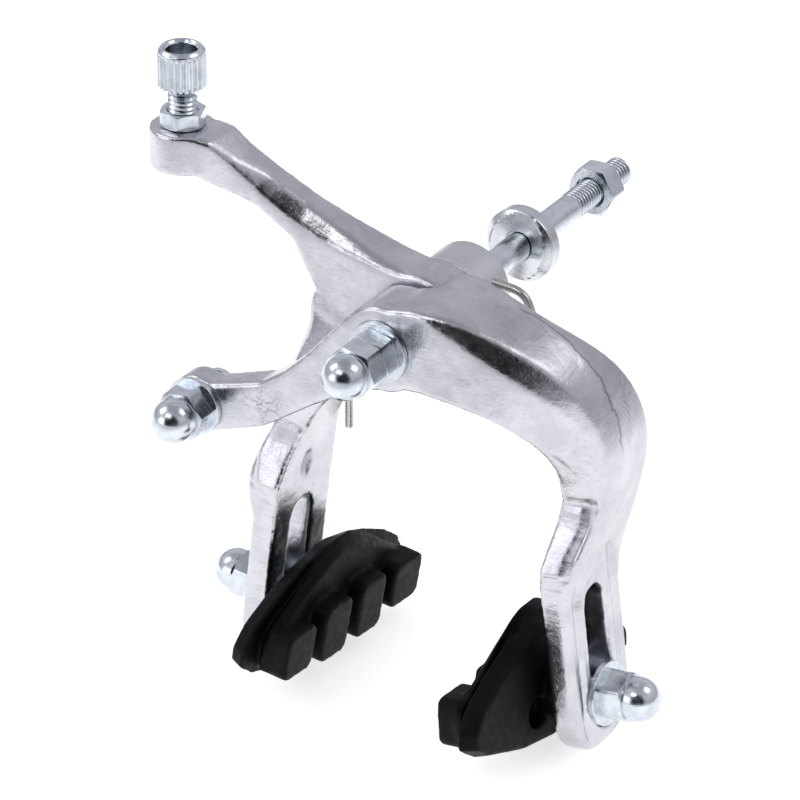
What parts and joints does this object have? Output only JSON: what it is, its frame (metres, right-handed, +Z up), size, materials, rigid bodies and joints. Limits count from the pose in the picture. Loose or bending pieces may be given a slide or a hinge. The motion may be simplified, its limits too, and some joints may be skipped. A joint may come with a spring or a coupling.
{
  "type": "rim brake caliper",
  "caption": "Single-pivot side-pull bicycle rim brake caliper: forged arms on a mounting bolt, barrel adjuster, cable anchor, return spring and slotted rubber brake shoes",
  "frame": {"origin": "on the mounting bolt axis, at the rear seat face of the spring block that rests on the fork crown", "axes": "+Y runs rearwards along the mounting bolt, +Z up, +X to the right as seen from the front of the bicycle"},
  "size_m": [0.1129, 0.1132, 0.1375],
  "materials": {
    "arm_alloy": "polished forged aluminium with fine scratches",
    "zinc_steel": "bright zinc plated steel",
    "dark_steel": "plain steel",
    "machined_block": "turned matt aluminium",
    "pad_rubber": "moulded black rubber, satin"
  },
  "bodies": {
    "root": {"pivot_bolt": "zinc_steel", "spring_block": "machined_block", "pivot_front_washer": "zinc_steel", "pivot_jam_nut": "zinc_steel", "pivot_cap_nut": "zinc_steel", "arm_spacer_washer": "zinc_steel", "rear_arm_washer": "zinc_steel", "return_spring": "dark_steel"},
    "front_arm": {"front_arm": "arm_alloy"},
    "rear_arm": {"rear_arm": "arm_alloy"},
    "barrel_adjuster": {"barrel_adjuster": "zinc_steel"},
    "adjuster_lock_nut": {"adjuster_lock_nut": "zinc_steel"},
    "cable_anchor": {"anchor_bolt": "zinc_steel", "anchor_washer": "zinc_steel", "anchor_cap_nut": "zinc_steel"},
    "right_pad_carriage": {"right_pad_cap_nut": "zinc_steel", "right_pad_outer_washer": "zinc_steel", "right_pad_inner_washer": "zinc_steel"},
    "left_pad_carriage": {"left_pad_cap_nut": "zinc_steel", "left_pad_outer_washer": "zinc_steel", "left_pad_inner_washer": "zinc_steel"},
    "right_pad": {"right_pad_shoe": "pad_rubber", "right_pad_stud": "zinc_steel"},
    "left_pad": {"left_pad_shoe": "pad_rubber", "left_pad_stud": "zinc_steel"},
    "mounting_nut": {"mounting_nut": "zinc_steel"},
    "saddle_washer": {"saddle_washer": "zinc_steel"}
  },
  "joints": [
    {"name": "front_arm_pivot", "type": "hinge", "parent": "root", "child": "front_arm", "pos_m": [0, -0.031, 0], "axis": [0, 1, 0], "range_deg": [0, 10], "stiffness_Nm_per_rad": 2.9, "springref_deg": -9.74, "deforming": ["return_spring"]},
    {"name": "rear_arm_pivot", "type": "hinge", "parent": "root", "child": "rear_arm", "pos_m": [0, -0.019, 0], "axis": [0, 1, 0], "range_deg": [-10, 0], "stiffness_Nm_per_rad": 2.9, "springref_deg": 9.74, "deforming": ["return_spring"]},
    {"name": "adjuster_screw", "type": "slide", "parent": "rear_arm", "child": "barrel_adjuster", "axis": [0, 0, 1], "range_m": [0, 0.005]},
    {"name": "lock_nut_screw", "type": "slide", "parent": "rear_arm", "child": "adjuster_lock_nut", "axis": [0, 0, 1], "range_m": [0, 0.0038]},
    {"name": "anchor_turn", "type": "hinge", "parent": "front_arm", "child": "cable_anchor", "pos_m": [-0.0438, -0.034, -0.0245], "axis": [0, 1, 0], "range_deg": [-180, 180]},
    {"name": "right_pad_height", "type": "slide", "parent": "front_arm", "child": "right_pad_carriage", "axis": [-0.1219, 0, 0.9925], "range_m": [-0.003, 0.016]},
    {"name": "left_pad_height", "type": "slide", "parent": "rear_arm", "child": "left_pad_carriage", "axis": [0.1219, 0, 0.9925], "range_m": [-0.003, 0.016]},
    {"name": "right_pad_tilt", "type": "hinge", "parent": "right_pad_carriage", "child": "right_pad", "pos_m": [0.03761, -0.0165, -0.07659], "axis": [0.9925, 0, 0.1219], "range_deg": [-12, 12]},
    {"name": "left_pad_tilt", "type": "hinge", "parent": "left_pad_carriage", "child": "left_pad", "pos_m": [-0.03761, -0.0165, -0.07659], "axis": [-0.9925, 0, 0.1219], "range_deg": [-12, 12]},
    {"name": "mounting_nut_screw", "type": "slide", "parent": "root", "child": "mounting_nut", "axis": [0, 1, 0], "range_m": [-0.006, 0.008]},
    {"name": "saddle_washer_slide", "type": "slide", "parent": "root", "child": "saddle_washer", "axis": [0, 1, 0], "range_m": [-0.0145, 0.018]}
  ],
  "couplings": [
    {"joint": "rear_arm_pivot", "follows": "front_arm_pivot", "ratio": -1}
  ]
}
